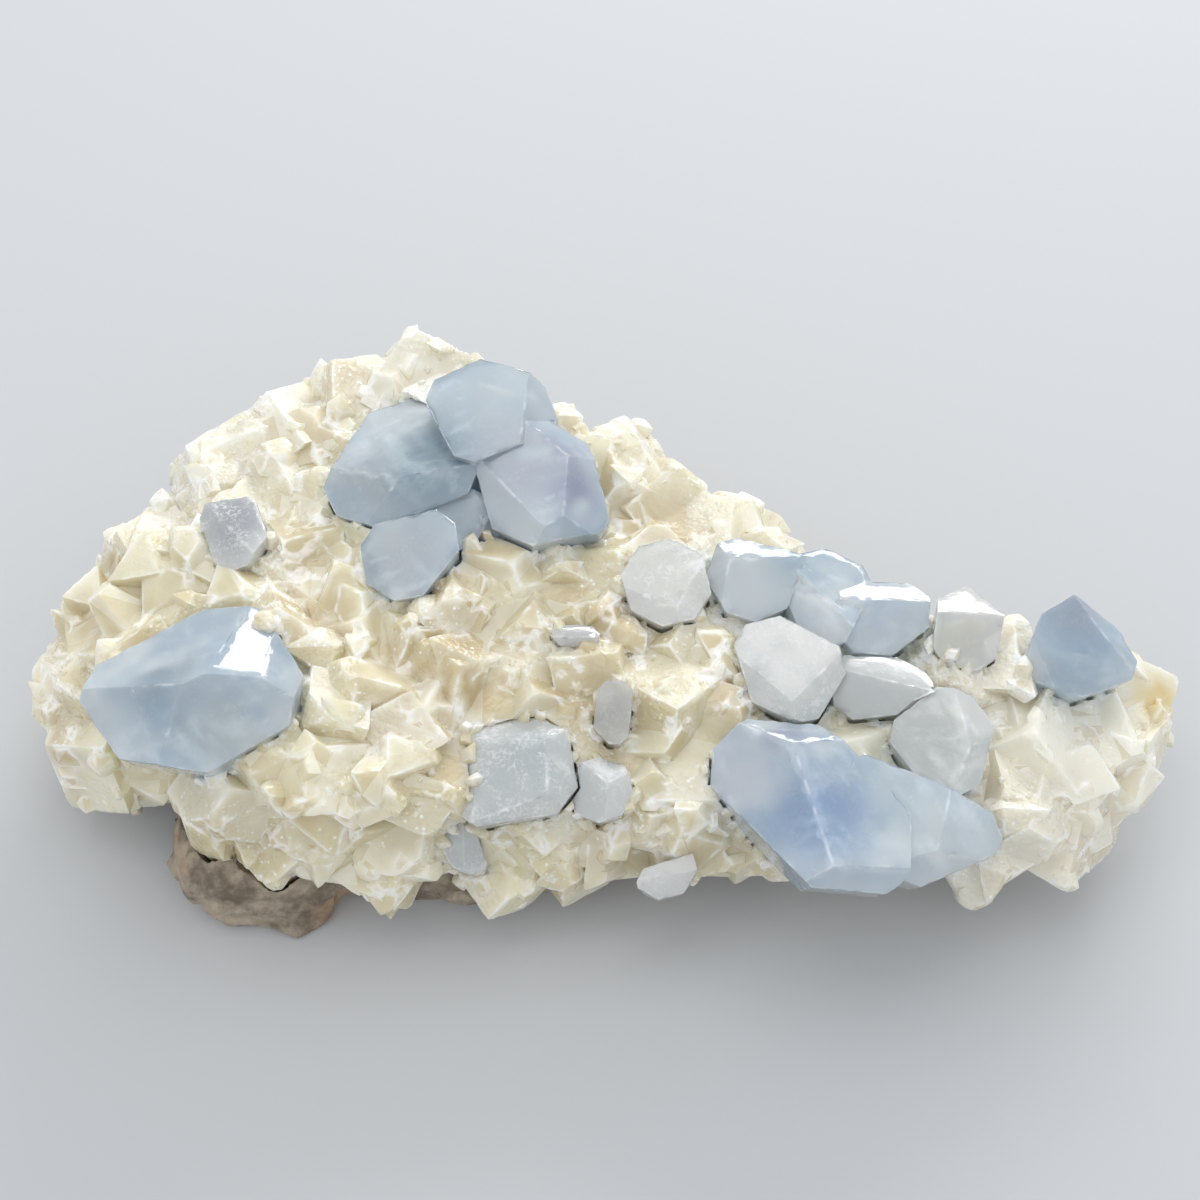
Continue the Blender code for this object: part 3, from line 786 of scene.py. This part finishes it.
celestitePatches = {  # as the crust's stains: centre, radius, width of the edge, colour, strength
    "celestite_blue": (
        ((-67.8, -25.4, 50), 5, 4, (0.20, 0.30, 0.38), 0.75),
        ((-67.9, -32.1, 47), 4, 3, (0.30, 0.42, 0.54), 0.60),
        ((-77.0, -34.0, 43), 6, 5, (0.80, 0.85, 0.88), 0.75),
        ((-58.0, -36.0, 46), 6, 4, (0.58, 0.63, 0.62), 0.70),
        ((-49.0, -30.3, 44), 3, 2, (0.90, 0.92, 0.93), 0.75),
        ((-28.2, 14.4, 52), 9, 6, (0.17, 0.30, 0.38), 0.80),
        ((-38.6, 12.1, 50), 6, 4, (0.54, 0.58, 0.60), 0.65),
        ((-19.5, 25.5, 57), 8, 5, (0.66, 0.76, 0.82), 0.75),
        ((-13.4, 12.1, 54), 8, 6, (0.58, 0.60, 0.68), 0.75),
        ((-4.8, 16.6, 55), 4, 3, (0.36, 0.36, 0.52), 0.70),
        ((-3.7, 8.0, 52), 4, 3, (0.38, 0.38, 0.54), 0.75),
        ((-11.6, 1.3, 49), 5, 4, (0.76, 0.82, 0.86), 0.80),
        ((-32.3, -1.6, 46), 7, 4, (0.56, 0.58, 0.60), 0.75),
        ((-18.9, 3.2, 46), 3, 2, (0.26, 0.27, 0.30), 0.75),
        ((24.0, -3.8, 42), 6, 5, (0.86, 0.93, 0.97), 0.75),
        ((32.9, -9.2, 41), 3, 2, (0.52, 0.66, 0.80), 0.60),
        ((45.3, -10.5, 40), 5, 4, (0.50, 0.64, 0.80), 0.70),
        ((78.4, -13.0, 37), 6, 4, (0.44, 0.60, 0.80), 0.75),
        ((78.8, -9.3, 43), 4, 3, (0.52, 0.52, 0.62), 0.60),
        ((34.5, -43.5, 34), 8, 6, (0.27, 0.42, 0.68), 0.90),
        ((22.5, -35.0, 35), 6, 4, (0.80, 0.83, 0.90), 0.80),
        ((29.2, -30.0, 38), 4, 3, (0.36, 0.38, 0.52), 0.60),
        ((45.5, -39.0, 34), 5, 4, (0.60, 0.72, 0.78), 0.75),
        ((38.0, -52.5, 27), 5, 4, (0.80, 0.86, 0.90), 0.80),
        ((57.5, -44.2, 32), 7, 4, (0.80, 0.86, 0.88), 0.80),
    ),
    "celestite_clear": (
        ((60.2, -10.8, 38), 4, 3, (0.86, 0.84, 0.74), 0.60),
        ((53.7, -30.1, 36), 6, 5, (0.66, 0.72, 0.70), 0.60),
        ((1.8, -24.8, 36), 7, 4, (0.48, 0.47, 0.41), 0.90),
        ((-4.5, -14.4, 42), 6, 3, (0.60, 0.61, 0.62), 0.70),
    ),
    "celestite_frosted": (
        ((-22.0, -46.0, 26), 6, 4, (0.54, 0.58, 0.60), 0.75),
        ((11.6, -2.7, 42), 9, 5, (0.78, 0.78, 0.71), 0.70),
        ((-61.8, 6.7, 46), 6, 4, (0.36, 0.39, 0.44), 0.80),
        ((32.6, -24.0, 33), 5, 4, (0.42, 0.54, 0.56), 0.70),
        ((-13.6, -35.0, 35), 9, 6, (0.56, 0.63, 0.65), 0.60),
    ),
}


def paintCelestite(fine, look, spots):
    # clouds, placed patches and streaky veils at the points, and how milky each point is
    s = celestiteSettings
    colour = blend(look["pale"], look["deep"], ramp(layeredNoise(fine, s["clouds"]), 0.36, 0.66))
    ragged = ramp(layeredNoise(fine, s["ragged"]), 0.10, 0.42)
    colour = addPatches(fine, colour, spots, ragged)
    milky = np.zeros(len(fine))
    for salt, along, across in s["sheets"]:
        # a sheet seen on edge is a streak: noise squeezed along one direction
        sheet = fine + np.outer(fine @ along, along) * (6.0 / across - 1)
        streak = ramp(layeredNoise(sheet, ((6.0, salt, 0.6), (2.6, salt + 1, 0.4))), 0.50, 0.80)
        milky = np.maximum(milky, streak * ramp(softNoise(fine, 9, salt + 2), 0.45, 0.75))
    return blend(colour, look["milk"], milky * look["wisps"]), milky


def celestiteMaterial(name, look):
    made, tree, shader = newMaterial(name)
    coords = objectCoords(tree)
    rim, milky = attributeNode(tree, "rim"), attributeNode(tree, "milky")
    broken = noiseNode(tree, coords, 300, 3)
    wornHere = mapRange(tree, broken, 0.48, 0.66, 0.04, 0.5)
    worn = mathNode(tree, "MULTIPLY", mapRange(tree, rim, 0.5, 1.0), wornHere)
    # each facet shows a little more or less of the cloudy inside
    tone = attributeNode(tree, "tone")
    colour = mixColour(tree, mapRange(tree, tone, 0.55, 1.0, 0, 0.45), paintNode(tree), look["milk"])
    colour = mixColour(tree, mapRange(tree, tone, 0.4, 0.0, 0, 0.30), colour, look["deep"])
    colour = mixColour(tree, worn, colour, look["milk"])
    # frosty grain in patches, and specks
    fine = noiseNode(tree, coords, 1500, 2, 0.6, 0.8)
    patchy = mapRange(tree, broken, 0.40, 0.62, 0.1, 1)
    grain = mathNode(tree, "MULTIPLY", mapRange(tree, fine, 0.46, 0.62), patchy)
    grain = mathNode(tree, "MULTIPLY", grain, look["grain"])
    colour = mixColour(tree, grain, colour, celestiteSettings["speck"])
    link(tree, colour, shader.inputs["Base Color"])
    link(tree, mapRange(tree, milky, 0.0, 0.8, look["smooth"], look["rough"]), shader.inputs["Roughness"])
    # worn and milky places let less light through
    dull = mathNode(tree, "MULTIPLY", worn, 0.3)
    cloudy = mathNode(tree, "ADD", dull, mathNode(tree, "MULTIPLY", milky, 0.12))
    link(tree, mathNode(tree, "SUBTRACT", look["clear"], cloudy), shader.inputs["Transmission Weight"])
    setInside(shader, celestiteSettings["inside"])
    volume = tree.nodes.new("ShaderNodeVolumeAbsorption")
    volume.inputs["Color"].default_value = (*look["absorb"], 1)
    volume.inputs["Density"].default_value = look["density"]
    link(tree, volume.outputs["Volume"], tree.nodes["Material Output"].inputs["Volume"])
    link(tree, bumpNode(tree, fine, look["bump"], 0.15), shader.inputs["Normal"])
    return made


def celestiteCrystals():
    s = celestiteSettings
    looks = {slot: celestiteMaterial(slot, look) for slot, look in celestiteLooks.items()}
    slots = {row["node"]: row["material_slot"] for row in frame["record"]["subparts"]}
    total = 0
    for name in celestiteNodes:
        points, faces = celestiteMeshes[name]
        thing = makePiece(name.replace("celestite", "crystal"), points, faces)
        mergeFlatFaces(thing.data, s["flatAngle"], False)
        bevel = thing.modifiers.new("bevel", "BEVEL")
        bevel.width = s["bevel"] * mm
        bevel.segments = 2
        bevel.limit_method = "ANGLE"
        bevel.angle_limit = math.radians(s["bevelAngle"])
        bevel.use_clamp_overlap = True
        applied(thing)
        coarse, coarseFaces = meshArrays(thing.data)
        fine, fineFaces = cutLongSides(coarse, coarseFaces, np.full(len(coarse), s["longestSide"]))
        bpy.data.objects.remove(thing)
        thing = makePiece(name.replace("celestite", "crystal"), fine, fineFaces)
        starts, ends = sharpEdges(points, faces, s["rimAngle"])
        gap = distanceToEdges(fine, starts, ends, s["rimReach"])
        lift = -np.clip(1 - gap / s["wearReach"], 0, 1) * softNoise(fine, 1.2, 9) ** 2 * s["wear"] * 2
        lift -= softNoise(fine, 4.5, 5) * s["wave"] + softNoise(fine, 1.6, 2) * s["wave"] * 0.4
        moved = fine + vertexNormals(thing.data) * lift[:, None]
        thing.data.vertices.foreach_set("co", (moved * mm).ravel())
        colour, milky = paintCelestite(fine, celestiteLooks[slots[name]], celestitePatches[slots[name]])
        setAttribute(thing.data, "rim", 1 - gap)
        setAttribute(thing.data, "milky", milky)
        setAttribute(thing.data, "tone", facetTone(fine, fineFaces, 5), "FACE")
        setPaint(thing.data, colour)
        thing.data.shade_smooth()
        thing.data.set_sharp_from_angle(angle=math.radians(s["sharpAngle"]))
        thing.data.materials.append(looks[slots[name]])
        total += len(fineFaces)
        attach(thing, "root")
        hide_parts(name)
    print("celestite: made", len(celestiteNodes), "groups with", total, "faces")


rockSettings = {
    "voxel": 0.8,
    "relief": 1.1,
    "pits": 0.5,
    "lumps": ((9, 1, 0.5), (4.2, 2, 0.3), (1.9, 3, 0.2)),
    "footHeight": 3,  # the relief grows from nothing to full over this height above the floor
    "dark": (0.15, 0.115, 0.08),
    "light": (0.46, 0.39, 0.30),
    "rust": (0.46, 0.29, 0.17),
}


def rockMaterial():
    s = rockSettings
    made, tree, shader = newMaterial("hostRock")
    coords = objectCoords(tree)
    light = mapRange(tree, noiseNode(tree, coords, 130, 6, 0.65), 0.35, 0.65)
    colour = mixColour(tree, light, s["dark"], s["light"])
    rusty = mapRange(tree, noiseNode(tree, coords, 60, 5, 0.6), 0.52, 0.68, 0, 0.7)
    colour = mixColour(tree, rusty, colour, s["rust"])
    link(tree, colour, shader.inputs["Base Color"])
    glint = mapRange(tree, noiseNode(tree, coords, 400, 4, 0.6), 0.5, 0.66)
    link(tree, mapRange(tree, glint, 0.0, 1.0, 0.75, 0.32), shader.inputs["Roughness"])
    link(tree, bumpNode(tree, noiseNode(tree, coords, 420, 6, 0.65), 0.8, 0.8), shader.inputs["Normal"])
    return made


def hostRock():
    s = rockSettings
    points, faces = readNode("matrix_rock")
    rock = makePiece("host_rock", points, faces)
    remesh = rock.modifiers.new("remesh", "REMESH")
    remesh.mode = "VOXEL"
    remesh.voxel_size = s["voxel"] * mm
    applied(rock)
    fine, _ = meshArrays(rock.data)
    # lumps, ridges and pits go inwards, and the flat patch that it rests on stays
    lumps = layeredNoise(fine, s["lumps"])
    ridges = 1 - np.abs(softNoise(fine, 6.5, 4) * 2 - 1)
    pits = np.clip(softNoise(fine, 2.4, 7) - 0.62, 0, 1) * 4 * s["pits"]
    lift = -(lumps * 1.6 + ridges ** 3 * 0.9) * s["relief"] - pits
    share = np.clip((fine[:, 2] - 0.3) / s["footHeight"], 0, 1)
    moved = fine + vertexNormals(rock.data) * (lift * share)[:, None]
    moved[:, 2] = np.maximum(moved[:, 2], 0.0)
    rock.data.vertices.foreach_set("co", (moved * mm).ravel())
    rock.data.shade_smooth()
    rock.data.materials.clear()
    rock.data.materials.append(rockMaterial())
    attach(rock, "root")
    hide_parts("matrix_rock")
    print("rock: finished with", len(rock.data.polygons), "faces")


studio = {
    "floorColour": (0.55, 0.56, 0.57),
    "floorRoughness": 0.85,
    "floorReach": 3.0,  # from the middle to each side
    "sky": (0.95, 0.97, 1.0),
    "worldStrength": 0.92,
    "lookAt": (-0.0001, 0.0016, 0.030),
    "elevation": 55.0,
    "distance": 0.312,
    "sensor": 36,
    "lens": 54,
    "lights": (  # name, heading, elevation, distance, width, height, power
        ("window", 70, 30, 0.9, 0.50, 0.24, 3.3),
        ("overhead", 110, 75, 0.9, 0.7, 0.5, 1.5),
    ),
}


def areaLight(name, heading, elevation, distance, width, height, power):
    # a softbox aimed at the specimen; heading 0 is +X and 90 is behind it
    a, e = math.radians(heading), math.radians(elevation)
    data = bpy.data.lights.new(name, "AREA")
    data.shape = "RECTANGLE"
    data.size, data.size_y = width, height
    data.energy = power
    lamp = bpy.data.objects.new(name, data)
    place = Vector((math.cos(a) * math.cos(e), math.sin(a) * math.cos(e), math.sin(e)))
    lamp.location = place * distance
    lamp.rotation_euler = (-place).to_track_quat("-Z", "Y").to_euler()
    bpy.context.scene.collection.objects.link(lamp)


def setFloor():
    corners = np.array([(-1, -1, 0), (1, -1, 0), (1, 1, 0), (-1, 1, 0)]) * studio["floorReach"] / mm
    floor = makePiece("floor", corners, np.array([[0, 1, 2, 3]]))
    made, _, shader = newMaterial("paleFloor")
    shader.inputs["Base Color"].default_value = (*studio["floorColour"], 1)
    shader.inputs["Roughness"].default_value = studio["floorRoughness"]
    shader.inputs["Specular IOR Level"].default_value = 0.0
    floor.data.materials.append(made)


def setLight():
    world = bpy.data.worlds.new("studioWorld")
    bpy.context.scene.world = world
    world.use_nodes = True
    back = world.node_tree.nodes["Background"]
    back.inputs["Color"].default_value = (*studio["sky"], 1)
    back.inputs["Strength"].default_value = studio["worldStrength"]
    for row in studio["lights"]:
        areaLight(*row)
    bpy.context.scene.view_settings.view_transform = "Standard"


def setCamera():
    scene = bpy.context.scene
    camera = bpy.data.cameras.new("camera")
    camera.sensor_width = studio["sensor"]
    camera.lens = studio["lens"]
    camera.clip_start = 0.01
    eye = bpy.data.objects.new("camera", camera)
    e = math.radians(studio["elevation"])
    ahead = Vector((0, math.cos(e), -math.sin(e)))
    eye.location = Vector(studio["lookAt"]) - ahead * studio["distance"]
    eye.rotation_euler = ahead.to_track_quat("-Z", "Y").to_euler()
    scene.collection.objects.link(eye)
    scene.camera = eye


calciteCrust()
celestiteCrystals()
hostRock()
setFloor()
setLight()
setCamera()
print("studio: set")
